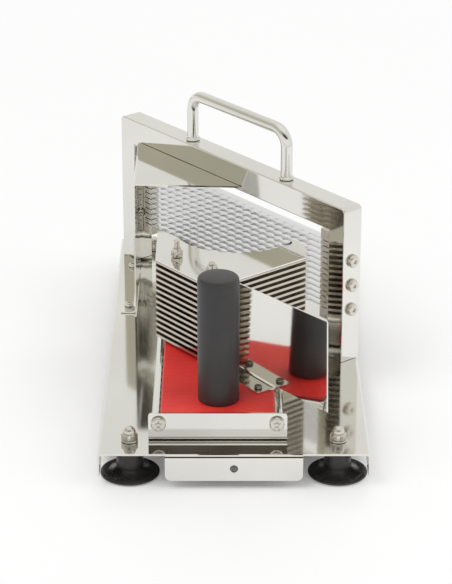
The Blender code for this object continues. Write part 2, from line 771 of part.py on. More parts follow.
def make_holder(blade_set, name, stations, pin, bolt_heights):
    """One block, from its back through the slot bottoms to its tips, with a pin hole through all its fingers."""
    back, bottom, tip = stations
    front = BLADE_FRONT + SCALLOP_DEPTH
    rear = BLADE_FRONT + BLADE_WIDTH
    inward = 1 if tip > back else -1
    bottom -= inward * GAP
    slot = BLADE_THICKNESS / 2 + GAP
    low = blade_height(0) - BLADE_PITCH - HOLDER_LUG
    high = blade_height(BLADE_COUNT - 1) + BLADE_PITCH + HOLDER_LUG
    outline = [(back, low), (tip, low)]
    for index in range(BLADE_COUNT):
        z = blade_height(index)
        outline += [(tip, z - slot), (bottom, z - slot), (bottom, z + slot), (tip, z + slot)]
    outline += [(tip, high), (back, high)]
    bm = bmesh.new()
    standing_plate(bm, outline, front, rear)
    block = finish(name, bm, "fastener", blade_set)
    hole = bmesh.new()
    at = Matrix.Translation((pin, (front + rear) / 2, 0))
    cylinder(hole, PIN_RADIUS + BORE_CLEARANCE, low + HOLDER_LUG / 2, high + OVERRUN, SMALL_ROUND, at)
    cut(block, hole)
    holes = bmesh.new()
    for z in bolt_heights:
        across = facing((back, FRAME_DEPTH / 2, z), (-inward, 0, 0))
        deep = abs(bottom - back) - BORE_CLEARANCE
        cylinder(holes, END_BOLT_RADIUS + BORE_CLEARANCE, -deep, OVERRUN, SMALL_ROUND, across)
    cut(block, holes)
    dress(block, "fastener")
    bm = bmesh.new()
    cylinder(bm, PIN_RADIUS, low + HOLDER_LUG / 2 + GAP, high, SMALL_ROUND)
    side = "left" if inward > 0 else "right"
    finish("blade_pin_" + side, bm, "fastener", blade_set, (pin, (front + rear) / 2, 0))


def make_end_bolts(blade_set):
    """Domed bolts through the posts: three pull the tension block, two hold the left holder."""
    half = FRAME_LENGTH / 2
    head = (END_BOLT_HEAD_RADIUS, END_BOLT_HEAD_HEIGHT)
    tail = GAP + BORE_CLEARANCE
    holder_reach = FRAME_POST + GAP + HOLDER_BACK - tail
    tension_reach = FRAME_POST + TENSION_GAP + TENSION_BACK - tail
    for name, sign, heights, reach in (
        ("left_holder_bolt_", -1, holder_bolt_heights(), holder_reach),
        ("tension_bolt_", 1, end_bolt_heights(), tension_reach),
    ):
        for index, z in enumerate(heights):
            bm = bmesh.new()
            button_screw(bm, *head, END_BOLT_RADIUS, reach, facing((0, 0, 0), (sign, 0, 0)))
            place = (sign * (half + GAP), FRAME_DEPTH / 2, z)
            finish(name + str(index + 1), bm, "fastener", blade_set, place)


# Carry handle

def make_handle(blade_set):
    """A bent round bar with a collar at each foot."""
    left, right = handle_feet()
    foot = FRAME_HEIGHT + GAP
    collar = foot + COLLAR_HEIGHT
    top = FRAME_HEIGHT + HANDLE_RISE - HANDLE_RADIUS
    bend = HANDLE_BEND
    left_foot = [((left, 0, foot), COLLAR_RADIUS), ((left, 0, collar), COLLAR_RADIUS), ((left, 0, collar), HANDLE_RADIUS)]
    path = list(left_foot)
    curve = arc((left + bend, top - bend), bend, math.pi, math.pi / 2, 2 * BEND_STEPS)
    curve += arc((right - bend, top - bend), bend, math.pi / 2, 0, 2 * BEND_STEPS)
    path += [((x, 0, z), HANDLE_RADIUS) for x, z in curve]
    path += [((right, 0, z), radius) for (_, _, z), radius in reversed(left_foot)]
    bm = bmesh.new()
    swept(bm, path, HANDLE_FACETS)
    handle = finish("carry_handle", bm, "polished", blade_set, (0, FRAME_DEPTH / 2, 0))
    holes = bmesh.new()
    for u in (left, right):
        at = Matrix.Translation((u, 0, 0))
        cylinder(holes, HANDLE_SCREW_RADIUS + BORE_CLEARANCE, foot - OVERRUN, foot + HANDLE_SCREW_LENGTH, SMALL_ROUND, at)
    cut(handle, holes)
    dress(handle, "polished")
    head = (HANDLE_SCREW_HEAD_RADIUS, HANDLE_SCREW_HEAD_HEIGHT)
    for side, u in (("left", left), ("right", right)):
        bm = bmesh.new()
        button_screw(bm, *head, HANDLE_SCREW_RADIUS, HANDLE_SCREW_LENGTH, facing((0, 0, 0), (0, 0, -1)))
        place = (u, FRAME_DEPTH / 2, FRAME_HEIGHT - FRAME_WALL - GAP)
        finish("handle_screw_" + side, bm, "fastener", blade_set, place)


# Fixed guard at the left of the blades

def frame_front_y(x):
    """Where the blade frame's front face crosses a line along Y."""
    u = (x - FRAME_CENTRE_X) / math.cos(FRAME_ANGLE)
    return FRAME_CENTRE_Y + u * math.sin(FRAME_ANGLE)


def make_guard(chassis):
    """One bent sheet: a foot on the base, a wall, and a three-cornered plate that meets the frame."""
    sheet = GUARD_SHEET
    clear = 2 * GAP / math.cos(FRAME_ANGLE)
    wall = GUARD_WALL_X
    foot_x = wall - GUARD_FOOT_WIDTH
    low = BASE_TOP + GAP + sheet
    high = BASE_TOP + GUARD_TOP
    bend = GUARD_BEND
    tip = wall + GUARD_TOP_REACH
    bm = bmesh.new()
    section = [(foot_x, low)]
    section += arc((wall - bend, low + bend), bend, -math.pi / 2, 0, 2)
    front = [bm.verts.new((x, GUARD_FRONT_Y, z)) for x, z in section]
    raked = GUARD_FRONT_Y + GUARD_FRONT_RAKE
    upper_bend = arc((wall + bend, high - bend), bend, math.pi, math.pi / 2, 2)
    front += [bm.verts.new((x, raked, z)) for x, z in upper_bend]
    front.append(bm.verts.new((tip, raked - GUARD_FRONT_SLANT, high)))
    back = []
    for vert in front:
        x, y, z = vert.co
        reach = frame_front_y(x if z == front[-1].co.z else x + sheet) - clear
        back.append(bm.verts.new((x, max(reach, y + sheet), z)))
    for i in range(len(front) - 1):
        bm.faces.new([front[i], front[i + 1], back[i + 1], back[i]])
    guard = sheet_from(bm, "safety_guard", chassis, sheet, Vector((0, 0, 1)))
    cutter = bmesh.new()
    for x, y in guard_screw_spots():
        at = Matrix.Translation((x, y, 0))
        cylinder(cutter, GUARD_SCREW_RADIUS + BORE_CLEARANCE, BASE_TOP - OVERRUN, low + OVERRUN, SMALL_ROUND, at)
    cut(guard, cutter)
    dress(guard, "polished")


def make_guard_screws(chassis):
    head = (GUARD_SCREW_HEAD_RADIUS, GUARD_SCREW_HEAD_HEIGHT)
    for place, (x, y) in zip(("front", "rear"), guard_screw_spots()):
        bm = bmesh.new()
        button_screw(bm, *head, GUARD_SCREW_RADIUS, GUARD_SCREW_LENGTH, Matrix())
        finish("guard_screw_" + place, bm, "fastener", chassis, (x, y, BASE_TOP + GAP + GUARD_SHEET + GAP))


# Guide rods

def rod_spots():
    return {"left": ROD_CENTRE_X - ROD_SPACING / 2, "right": ROD_CENTRE_X + ROD_SPACING / 2}


def bracket_outer_y():
    return BASE_LENGTH / 2 - BRACKET_FRONT_INSET


def make_rods(chassis):
    """Round rods, tapped at the front end and turned down to a spigot at the rear one."""
    outer = bracket_outer_y() - BRACKET_SHEET - GAP
    bore = ROD_SCREW_RADIUS + BORE_CLEARANCE
    edge = ROD_EDGE
    profile = [
        (0, -outer + ROD_SCREW_LENGTH),
        (bore, -outer + ROD_SCREW_LENGTH),
        (bore, -outer),
        (ROD_RADIUS - edge, -outer),
        (ROD_RADIUS, -outer + edge),
        (ROD_RADIUS, outer - edge),
        (ROD_RADIUS - edge, outer),
        (ROD_SCREW_RADIUS, outer),
        (ROD_SCREW_RADIUS, bracket_outer_y() + edge),
        (0, bracket_outer_y() + edge),
    ]
    for side, x in rod_spots().items():
        bm = bmesh.new()
        turned(bm, profile, ROD_FACETS, facing((0, 0, 0), (0, 1, 0)))
        finish("guide_rod_" + side, bm, "polished", chassis, (x, 0, BASE_TOP + ROD_HEIGHT))


def make_brackets(chassis):
    """An upright plate at each end of the rods, bent to a foot that runs in under the slider."""
    outer = bracket_outer_y()
    half = BRACKET_WIDTH / 2
    bend = BRACKET_BEND
    corner = BRACKET_CORNER
    low = BASE_TOP + GAP
    for name, sign in (("front_bracket", -1), ("rear_bracket", 1)):
        bm = bmesh.new()
        top = BASE_TOP + BRACKET_TOP
        upper = arc((half - corner, top - corner), corner, 0, math.pi / 2, 3)
        upper += arc((-half + corner, top - corner), corner, math.pi / 2, math.pi, 3)
        edge = [bm.verts.new((x, sign * outer, low + bend)) for x in (-half, half)]
        bm.faces.new([edge[0], edge[1]] + [bm.verts.new((x, sign * outer, z)) for x, z in upper])
        for out, z in arc((0, low + bend), bend, 0, -math.pi / 2, BEND_STEPS)[1:]:
            row = [bm.verts.new((x, sign * (outer - bend + out), z)) for x in (-half, half)]
            bm.faces.new([edge[0], edge[1], row[1], row[0]])
            edge = row
        row = [bm.verts.new((x, sign * (outer - BRACKET_FOOT), low)) for x in (-half, half)]
        bm.faces.new([edge[0], edge[1], row[1], row[0]])
        made = sheet_from(bm, name, chassis, BRACKET_SHEET, Vector((0, sign, 0)), (ROD_CENTRE_X, 0, 0))
        cutter = bmesh.new()
        for side in (-1, 1):
            at = facing((side * ROD_SPACING / 2, sign * outer, BASE_TOP + ROD_HEIGHT), (0, sign, 0))
            cylinder(cutter, ROD_SCREW_RADIUS + BORE_CLEARANCE, -OVERRUN, OVERRUN, SMALL_ROUND, at)
        cut(made, cutter)
        dress(made, "polished")


def make_rod_screws(chassis):
    head = (ROD_SCREW_HEAD_RADIUS, ROD_SCREW_HEAD_HEIGHT)
    for side, x in rod_spots().items():
        bm = bmesh.new()
        button_screw(bm, *head, ROD_SCREW_RADIUS, ROD_SCREW_LENGTH, facing((0, 0, 0), (0, -1, 0)))
        finish("rod_screw_" + side, bm, "fastener", chassis, (x, -bracket_outer_y() - GAP, BASE_TOP + ROD_HEIGHT))


# Slider block

def pusher_point(u, v):
    """A plan point of the pusher's own axes, in the base's axes."""
    x = PUSHER_CORNER_X + u * math.cos(FRAME_ANGLE) - v * math.sin(FRAME_ANGLE)
    y = PUSHER_CORNER_Y + u * math.sin(FRAME_ANGLE) + v * math.cos(FRAME_ANGLE)
    return (x, y)


def hand_plate_matrix():
    """From the hand plate's own axes, with its left foot at the origin, to the pusher's axes."""
    return Matrix.Translation((PLATE_U, PLATE_V, 0)) @ Matrix.Rotation(PLATE_TURN, 4, "Z")


def tab_screw_spots():
    matrix = hand_plate_matrix()
    v = -TAB_DEPTH + TAB_SCREW_FRONT
    spots = [matrix @ Vector((u, v, 0)) for u in (TAB_SCREW_LEFT, TAB_SCREW_LEFT + TAB_SCREW_PITCH)]
    return [(spot.x, spot.y) for spot in spots]


def slider_front_y():
    return -bracket_outer_y() + BRACKET_SHEET + GAP


def make_slider(carriage):
    """A plastic block whose sides are grooved half round to run along both rods."""
    x0, y0, z0 = carriage.location
    half = SLIDER_WIDTH / 2
    low = BASE_TOP + SLIDER_BOTTOM - z0
    high = SLIDER_TOP_Z - z0
    edge = SLIDER_EDGE
    groove = ROD_RADIUS + GROOVE_CLEARANCE
    offset = ROD_SPACING / 2
    reach = math.asin(math.sqrt(groove**2 - (offset - half) ** 2) / groove)
    right = arc((offset, 0), groove, math.pi + reach, math.pi - reach, 6)
    left = arc((-offset, 0), groove, reach, -reach, 6)
    section = [(-half, low), (half, low), *right, (half, high - edge), (half - edge, high)]
    section += [(-half + edge, high), (-half, high - edge), *left]
    bm = bmesh.new()
    plate(bm, section, [], 0, SLIDER_LENGTH)
    front = slider_front_y() - y0
    for vert in bm.verts:
        x, z, along = vert.co
        vert.co = (x, front + along, z)
    block = finish("slider_block", bm, "red_plastic", carriage)
    holes = bmesh.new()
    screw_low = high - SMALL_SCREW_LENGTH - GAP
    for spots, radius, bottom in (
        (tab_screw_spots(), SMALL_SCREW_RADIUS, screw_low),
        (top_bolt_spots(), TOP_BOLT_RADIUS, high - TOP_BOLT_SEAT - GAP),
    ):
        for u, v in spots:
            x, y = pusher_point(u, v)
            at = Matrix.Translation((x - x0, y - y0, 0))
            cylinder(holes, radius + BORE_CLEARANCE, bottom, high + OVERRUN, SMALL_ROUND, at)
    at = Matrix.Translation((GRIP_X - x0, GRIP_Y - y0, 0))
    counterbore = low + GRIP_BOLT_COUNTERBORE
    cylinder(holes, GRIP_BOLT_RADIUS + BORE_CLEARANCE, counterbore - GAP, high + OVERRUN, SMALL_ROUND, at)
    cut(block, holes)
    sink = bmesh.new()
    cylinder(sink, GRIP_BOLT_HEAD_RADIUS + BORE_CLEARANCE, low - OVERRUN, counterbore, SMALL_ROUND, at)
    cut(block, sink)
    dress(block, "red_plastic")


# Pusher

def make_pusher(pusher):
    """Plates at the pitch of the blades, with a slot for a blade between each two, joined by their spacers."""
    high = PUSHER_TOP_Z - PUSHER_BOTTOM_Z
    bm = bmesh.new()
    for i in range(SLOT_COUNT):
        low = SLOT_FIRST + i * BLADE_PITCH + SLOT_HEIGHT / 2
        plate(bm, top_plate_outline(), [], low, min(low + BLADE_PITCH - SLOT_HEIGHT, high))
    made = finish("slotted_pusher", bm, "polished", pusher)
    spacers = bmesh.new()
    bores = bmesh.new()
    for u, v in top_bolt_spots():
        at = Matrix.Translation((u, v, 0))
        cylinder(spacers, PUSHER_SPACER_RADIUS, 0, high - GAP, SMALL_ROUND, at)
        cylinder(bores, TOP_BOLT_RADIUS + BORE_CLEARANCE, -OVERRUN, high + OVERRUN, SMALL_ROUND, at)
    cut(made, spacers, "UNION")
    cut(made, bores)
    dress(made, "polished")


def top_bolt_spots():
    u = -PUSHER_LEFT + TOP_BOLT_LEFT_INSET
    return [(u, TOP_BOLT_BACK), (u + TOP_BOLT_PITCH, TOP_BOLT_BACK)]


def u_at(x, v):
    """Along the pusher, where a plan point lies that has this X in the base's axes and this depth."""
    return (x - PUSHER_CORNER_X + v * math.sin(FRAME_ANGLE)) / math.cos(FRAME_ANGLE)


def top_plate_outline():
    """The pusher's corner, its two horns with edges along the travel, and a round notch for the tomato."""
    left_x = pusher_point(-PUSHER_LEFT, 0)[0]
    right_x = pusher_point(0, PUSHER_RIGHT)[0]
    notch = (TOP_NOTCH_U, TOP_NOTCH_V)
    left_dip = TOP_LEFT_HORN_V - TOP_NOTCH_V
    right_dip = TOP_RIGHT_HORN_V - TOP_NOTCH_V
    start = math.atan2(right_dip, math.sqrt(TOP_NOTCH_RADIUS**2 - right_dip**2))
    end = math.atan2(left_dip, -math.sqrt(TOP_NOTCH_RADIUS**2 - left_dip**2))
    points = [(-PUSHER_LEFT, 0)]
    points += arc((-PUSHER_BEND, PUSHER_BEND), PUSHER_BEND, -math.pi / 2, 0, BEND_STEPS)
    points += [(0, PUSHER_RIGHT), (u_at(right_x, TOP_RIGHT_HORN_V), TOP_RIGHT_HORN_V)]
    points += arc(notch, TOP_NOTCH_RADIUS, start, end, TOP_NOTCH_STEPS)
    points += [(u_at(left_x, TOP_LEFT_HORN_V), TOP_LEFT_HORN_V)]
    return points


def make_top_plate(pusher):
    """The uppermost plate, with the nuts of the two bolts that come up through the stack from the slider."""
    bm = bmesh.new()
    low = PUSHER_TOP_Z + GAP - PUSHER_BOTTOM_Z
    bore = TOP_BOLT_RADIUS + BORE_CLEARANCE
    holes = [circle(bore, SMALL_ROUND, spot) for spot in top_bolt_spots()]
    plate(bm, top_plate_outline(), holes, low, low + PUSHER_SHEET)
    finish("pusher_top_plate", bm, "polished", pusher)
    nut_low = low + PUSHER_SHEET + GAP
    crown = (TOP_NUT_CROWN_RADIUS, TOP_NUT_CROWN_HEIGHT)
    for side, (u, v), rise in zip(("left", "right"), top_bolt_spots(), TOP_BOLT_RISES):
        bolt_top = nut_low + rise
        edge = TOP_BOLT_EDGE
        profile = [(0, -TOP_BOLT_SEAT), (TOP_BOLT_RADIUS, -TOP_BOLT_SEAT), (TOP_BOLT_RADIUS, bolt_top - edge)]
        profile += [(TOP_BOLT_RADIUS - edge, bolt_top), (0, bolt_top)]
        bm = bmesh.new()
        turned(bm, profile, SMALL_ROUND)
        finish("top_plate_bolt_" + side, bm, "fastener", pusher, (u, v, 0))
        bm = bmesh.new()
        locking_nut(bm, TOP_NUT_FLATS, bore, (nut_low, nut_low + TOP_NUT_HEIGHT), crown)
        finish("top_plate_nut_" + side, bm, "fastener", pusher, (u, v, 0))


def make_hand_plate(pusher):
    """A bright sheet that leans back from a tab screwed to the slider."""
    sheet = PLATE_SHEET
    bend = PLATE_BEND
    lean = PLATE_LEAN
    turn = math.pi / 2 - lean
    bm = bmesh.new()
    profile = [(-TAB_DEPTH, sheet)]
    profile += arc((-bend, sheet + bend), bend, -math.pi / 2, -math.pi / 2 + turn, 3)
    section = [[bm.verts.new((u, v, z)) for u in (0, TAB_LENGTH)] for v, z in profile]
    for before, after in zip(section, section[1:]):
        bm.faces.new([before[0], before[1], after[1], after[0]])
    foot_v, foot_z = profile[-1]
    corners = [
        (PLATE_LENGTH, PLATE_RIGHT_RISE),
        (PLATE_LENGTH - PLATE_RIGHT_SLANT, PLATE_RIGHT_HEIGHT),
        (0, PLATE_LEFT_HEIGHT),
    ]
    free = [bm.verts.new((u, foot_v + (z - foot_z) * math.tan(lean), z)) for u, z in corners]
    bm.faces.new([section[-1][0], section[-1][1], *free])
    bm.transform(hand_plate_matrix())
    made = sheet_from(bm, "hand_plate", pusher, sheet, Vector((0, -1, 0)))
    cutter = bmesh.new()
    for u, v in tab_screw_spots():
        cylinder(cutter, SMALL_SCREW_RADIUS + BORE_CLEARANCE, -OVERRUN, OVERRUN, SMALL_ROUND, Matrix.Translation((u, v, 0)))
    cut(made, cutter)
    dress(made, "polished")


def make_hand_plate_screws(pusher):
    head = (SMALL_SCREW_HEAD_RADIUS, SMALL_SCREW_HEAD_HEIGHT)
    for side, (u, v) in zip(("left", "right"), tab_screw_spots()):
        bm = bmesh.new()
        button_screw(bm, *head, SMALL_SCREW_RADIUS, SMALL_SCREW_LENGTH, Matrix())
        finish("hand_plate_screw_" + side, bm, "dark_fastener", pusher, (u, v, PLATE_SHEET + GAP))


# Grip

def make_grip(carriage):
    x0, y0, z0 = carriage.location
    low = PUSHER_BOTTOM_Z - z0
    high = low + GRIP_HEIGHT
    bore = GRIP_BOLT_RADIUS + BORE_CLEARANCE
    deep = GRIP_BOLT_REACH
    radius = GRIP_RADIUS
    dome = GRIP_DOME
    profile = [(0, low + deep), (bore, low + deep), (bore, low), (radius - GRIP_FOOT_ROUND, low)]
    profile += [(radius, low + GRIP_FOOT_ROUND), (radius, high - dome)]
    profile += [(radius - dome * inwards, high - dome * down) for inwards, down in GRIP_DOME_SHARES]
    profile += [(0, high)]
    bm = bmesh.new()
    turned(bm, profile, 32)
    finish("grip", bm, "grip", carriage, (GRIP_X - x0, GRIP_Y - y0, 0))
    bm = bmesh.new()
    seat = BASE_TOP + SLIDER_BOTTOM + GRIP_BOLT_COUNTERBORE - GAP - z0
    at = facing((GRIP_X - x0, GRIP_Y - y0, seat), (0, 0, -1))
    length = low - seat + deep - GAP
    button_screw(bm, GRIP_BOLT_HEAD_RADIUS, GRIP_BOLT_HEAD_HEIGHT, GRIP_BOLT_RADIUS, length, at)
    finish("grip_bolt", bm, "fastener", carriage)


def main():
    remove_everything()
    chassis = empty("chassis", (0, 0, 0))
    blade_set = empty("blade_set", (FRAME_CENTRE_X, FRAME_CENTRE_Y, BASE_TOP), FRAME_ANGLE, chassis)
    slide_start = (ROD_CENTRE_X, slider_front_y(), BASE_TOP + ROD_HEIGHT)
    carriage = empty("carriage", slide_start)
    pusher_place = (PUSHER_CORNER_X - slide_start[0], PUSHER_CORNER_Y - slide_start[1], PUSHER_BOTTOM_Z - slide_start[2])
    pusher = empty("pusher", pusher_place, FRAME_ANGLE, carriage)
    make_base_plate(chassis)
    make_feet(chassis)
    make_foot_nuts(chassis)
    make_blade_frame(blade_set)
    make_frame_bolts(chassis)
    make_blades(blade_set)
    make_holders(blade_set)
    make_end_bolts(blade_set)
    make_handle(blade_set)
    make_guard(chassis)
    make_guard_screws(chassis)
    make_rods(chassis)
    make_brackets(chassis)
    make_rod_screws(chassis)
    make_slider(carriage)
    make_pusher(pusher)
    make_top_plate(pusher)
    make_hand_plate(pusher)
    make_hand_plate_screws(pusher)
    make_grip(carriage)


main()
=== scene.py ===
"""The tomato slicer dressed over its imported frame: finer pieces, materials, camera and studio."""

import json
import math

import bmesh
import bpy
from mathutils import Matrix, Vector


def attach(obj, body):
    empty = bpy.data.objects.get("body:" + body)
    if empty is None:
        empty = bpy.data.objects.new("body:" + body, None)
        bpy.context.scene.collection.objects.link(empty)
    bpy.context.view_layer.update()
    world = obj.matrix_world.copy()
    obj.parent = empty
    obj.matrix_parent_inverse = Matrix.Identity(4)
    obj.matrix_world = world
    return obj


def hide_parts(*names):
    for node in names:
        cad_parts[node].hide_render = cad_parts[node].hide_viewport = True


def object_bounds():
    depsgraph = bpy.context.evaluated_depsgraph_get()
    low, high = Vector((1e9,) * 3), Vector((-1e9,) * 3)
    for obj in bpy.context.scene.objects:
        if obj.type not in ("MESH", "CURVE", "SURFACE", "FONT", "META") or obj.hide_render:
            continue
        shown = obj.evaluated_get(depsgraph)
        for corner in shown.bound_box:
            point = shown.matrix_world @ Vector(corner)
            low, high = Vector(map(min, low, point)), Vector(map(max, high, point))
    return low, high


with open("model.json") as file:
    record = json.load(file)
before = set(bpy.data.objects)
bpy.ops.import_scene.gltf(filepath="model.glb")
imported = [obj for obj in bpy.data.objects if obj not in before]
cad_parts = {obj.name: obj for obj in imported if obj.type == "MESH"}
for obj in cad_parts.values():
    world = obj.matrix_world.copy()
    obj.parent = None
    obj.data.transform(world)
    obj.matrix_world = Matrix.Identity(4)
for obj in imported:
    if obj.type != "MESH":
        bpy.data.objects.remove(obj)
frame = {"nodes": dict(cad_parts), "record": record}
cad_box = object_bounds()

# Camera, fitted to the photograph
CAMERA_PLACE = (-0.0058, -1.6463, 0.7810)
CAMERA_PITCH = math.radians(23.5)
CAMERA_LENS = 136.8
SENSOR = 36

# The blade frame stands across the base at this slant
SLANT = math.radians(-51)
ALONG = Vector((math.cos(SLANT), math.sin(SLANT), 0))
ACROSS = Vector((-math.sin(SLANT), math.cos(SLANT), 0))
UP = Vector((0, 0, 1))
DOWN = Vector((0, 0, -1))
FRONT = Vector((0, -1, 0))

# Meshes
SEGMENTS = 48
SMOOTH_ANGLE = math.radians(32)
FLAT_WEIGHT = 90
SHEET = 0.0015

# Feet
CUP_ROOF = 0.0036
CUP_LAND = 0.0030
CUP_LAND_WIDTH = 0.0020
CUP_LIP = 0.0009
CUP_DISH = 0.0028
CUP_STEPS = 10
CUP_CURVE = 2.2
FOOT_NECK = 0.0100
FOOT_SHOULDER = 0.0070
FOOT_TOP = 0.0252
FOOT_EDGE = 0.0006
FOOT_STUD = 0.0030

# Nuts
NUT_EDGE = 0.0003
NUT_SLOPE = 0.55
WASHER = 0.0014
CAP_NUT_FLATS = 0.0106
CAP_NUT_HEIGHT = 0.0048
CAP_NUT_CHAMFER = 0.0055
CAP_NUT_NECK = 0.0010
CAP_RADIUS = 0.0049
CAP_STEPS = 10
TOP_NUT_FLATS = 0.0079
TOP_NUT_HEIGHT = 0.0050
TOP_NUT_CHAMFER = 0.0041
TOP_NUT_CROWN = 0.0036
TOP_NUT_BORE = 0.0025

# Screws: head height, socket width and how full the dome is
HEAD_STEPS = 8
END_BOLT = (0.0034, 0.0028, 0.62)
ROD_SCREW = (0.0030, 0.0032, 0.78)
PLATE_SCREW = (0.0022, 0.0024, 0.62)
GUARD_SCREW = (0.0030, 0.0026, 0.62)
THREAD_LENGTH = 0.0160
THREAD_PITCH = 0.0009
THREAD_DEPTH = 0.00035
THREAD_PROFILE = ((0.0, 1.0), (0.30, 0.0), (0.45, 0.0), (0.75, 1.0))

# Grip
GRIP_EDGE = 0.0010
GRIP_SHOULDER = 0.0030
GRIP_CAP = 0.0049
GRIP_CAP_STEP = (0.00025, 0.0002)

# Blade frame and handle
POST = 0.018
BAR = 0.022
TUBE_CORNER = 0.0040
TUBE_EDGE = 0.0011
TUBE_WALL = 0.0015
FOOT_OF_POST = 0.0003
ACCESS_RADIUS = 0.0052
HANDLE_RADIUS = 0.0048
HANDLE_BEND = 0.0135
COLLAR_RADIUS = 0.0060
COLLAR_HEIGHT = 0.0024
COLLAR_EDGE = 0.0005

# Blades: the hollow grind is given by shares of its width and of the blade's thickness
BLADE_COUNT = 13
SCALLOP_PITCH = 0.01014
SCALLOP_COUNT = 19
SCALLOP_STEPS = 8
SCALLOP_DEPTH = 0.0021
SCALLOP_POWER = 0.8
GRIND_WIDTH = 0.0042
GRIND_LEAST = 0.30
GRIND_PROFILE = ((0.35, 0.30), (0.70, 0.66), (1.0, 1.0))
BLADE_EDGE = 0.00012

# Front bracket
BRACKET_SHIFT = 0.00025
BRACKET_BEND = 0.0032
BRACKET_CORNER = 0.0030

# The floor grows plain white away from the object, in an oval; the metal sees a share of that
FLOOR_SIZE = 3.0
FLOOR_GLOW = (0.03, 0.70)
FLOOR_REACH = (0.085, 0.20)
FLOOR_FAR_GLOW = (0.0, 0.30)
FLOOR_FAR_REACH = (0.20, 1.2)
FLOOR_OVAL = (1.0, 0.5, 1.0)
FLOOR_GLOW_METAL = 0.15

# What the metal sees, by height (0 the horizon, 1 overhead)
WHITE = (0.95, 0.95, 0.94)
PALE = (0.86, 0.86, 0.83)
OLIVE = (0.56, 0.54, 0.45)
BROWN = (0.065, 0.050, 0.034)
FAR_SKY = [(0.05, WHITE), (0.30, PALE), (0.75, PALE), (1.0, WHITE)]
LEFT_SKY = [(0.05, WHITE), (0.22, OLIVE), (0.75, OLIVE), (1.0, WHITE)]
NEAR_SKY = [(0.43, WHITE), (0.48, BROWN), (0.70, BROWN), (0.95, WHITE)]
LEFT_FROM = (-0.85, -0.45)
NEAR_FROM = (-0.75, -0.35)
FILL_COLOUR = (1.0, 0.99, 0.97, 1)
FILL_STRENGTH = 0.55
LIGHT_TARGET = (0, 0, 0.05)


# Node helpers

def material(name, metallic=0.0, roughness=0.4):
    """A new Principled material: returns it with its tree and its shader."""
    made = bpy.data.materials.new(name)
    made.use_nodes = True
    shader = made.node_tree.nodes["Principled BSDF"]
    shader.inputs["Metallic"].default_value = metallic
    shader.inputs["Roughness"].default_value = roughness
    return made, made.node_tree, shader


def node(tree, kind, **values):
    """A new node; each value goes to the input of its name, or else to the node's own setting."""
    made = tree.nodes.new(kind)
    for key, value in values.items():
        if key in made.inputs:
            made.inputs[key].default_value = value
        else:
            setattr(made, key, value)
    return made


def noise(tree, scale, detail=3.0, stretch=(1, 1, 1)):
    """Noise over the object's own coordinates, in features to the metre."""
    place = node(tree, "ShaderNodeTexCoord")
    mapping = node(tree, "ShaderNodeMapping")
    mapping.inputs["Scale"].default_value = stretch
    texture = node(tree, "ShaderNodeTexNoise", Scale=scale, Detail=detail)
    tree.links.new(place.outputs["Object"], mapping.inputs["Vector"])
    tree.links.new(mapping.outputs["Vector"], texture.inputs["Vector"])
    return texture.outputs["Fac"]


def ramp(tree, value, low, high, points=(0.35, 0.65)):
    """The value as a colour between low and high."""
    made = node(tree, "ShaderNodeValToRGB")
    for element, place, colour in zip(made.color_ramp.elements, points, (low, high)):
        element.position = place
        element.color = (*colour, 1)
    tree.links.new(value, made.inputs["Fac"])
    return made.outputs["Color"]


def spread(tree, value, low, high, start=0.0, end=1.0):
    """The value, from start to end, as a number from low to high."""
    made = node(tree, "ShaderNodeMapRange")
    made.inputs["From Min"].default_value = start
    made.inputs["From Max"].default_value = end
    made.inputs["To Min"].default_value = low
    made.inputs["To Max"].default_value = high
    tree.links.new(value, made.inputs["Value"])
    return made.outputs["Result"]


def add_up(tree, first, second, share):
    """The first value plus a share of the second."""
    made = node(tree, "ShaderNodeMath", operation="MULTIPLY_ADD")
    tree.links.new(second, made.inputs[0])
    made.inputs[1].default_value = share
    tree.links.new(first, made.inputs[2])
    return made.outputs["Value"]


def bump(tree, shader, height, strength, distance):
    made = node(tree, "ShaderNodeBump", Strength=strength, Distance=distance)
    tree.links.new(height, made.inputs["Height"])
    tree.links.new(made.outputs["Normal"], shader.inputs["Normal"])


# Materials

def steel(name, colour, rough, grain=(1, 1, 1), grain_scale=900.0, waviness=0.02):
    """Polished or ground stainless steel with smudges, a fine grain and slightly uneven sheet."""
    made, tree, shader = material(name, metallic=1.0)
    darker = tuple(c * 0.93 for c in colour)
    tree.links.new(ramp(tree, noise(tree, 9.0), darker, colour), shader.inputs["Base Color"])
    smudge = noise(tree, 22.0, 6.0)
    tree.links.new(spread(tree, smudge, rough[0], rough[1]), shader.inputs["Roughness"])
    height = add_up(tree, noise(tree, 14.0, 1.0), noise(tree, grain_scale, 2.0, grain), 0.04)
    bump(tree, shader, height, waviness, 0.002)
    return made


def plastic(name, dark, light, rough, scale, strength):
    """Moulded plastic or rubber with uneven colour and a fine grain."""
    made, tree, shader = material(name)
    tree.links.new(ramp(tree, noise(tree, 30.0), dark, light), shader.inputs["Base Color"])
    tree.links.new(spread(tree, noise(tree, 60.0), rough[0], rough[1]), shader.inputs["Roughness"])
    bump(tree, shader, noise(tree, scale, 4.0), strength, 0.0004)
    return made


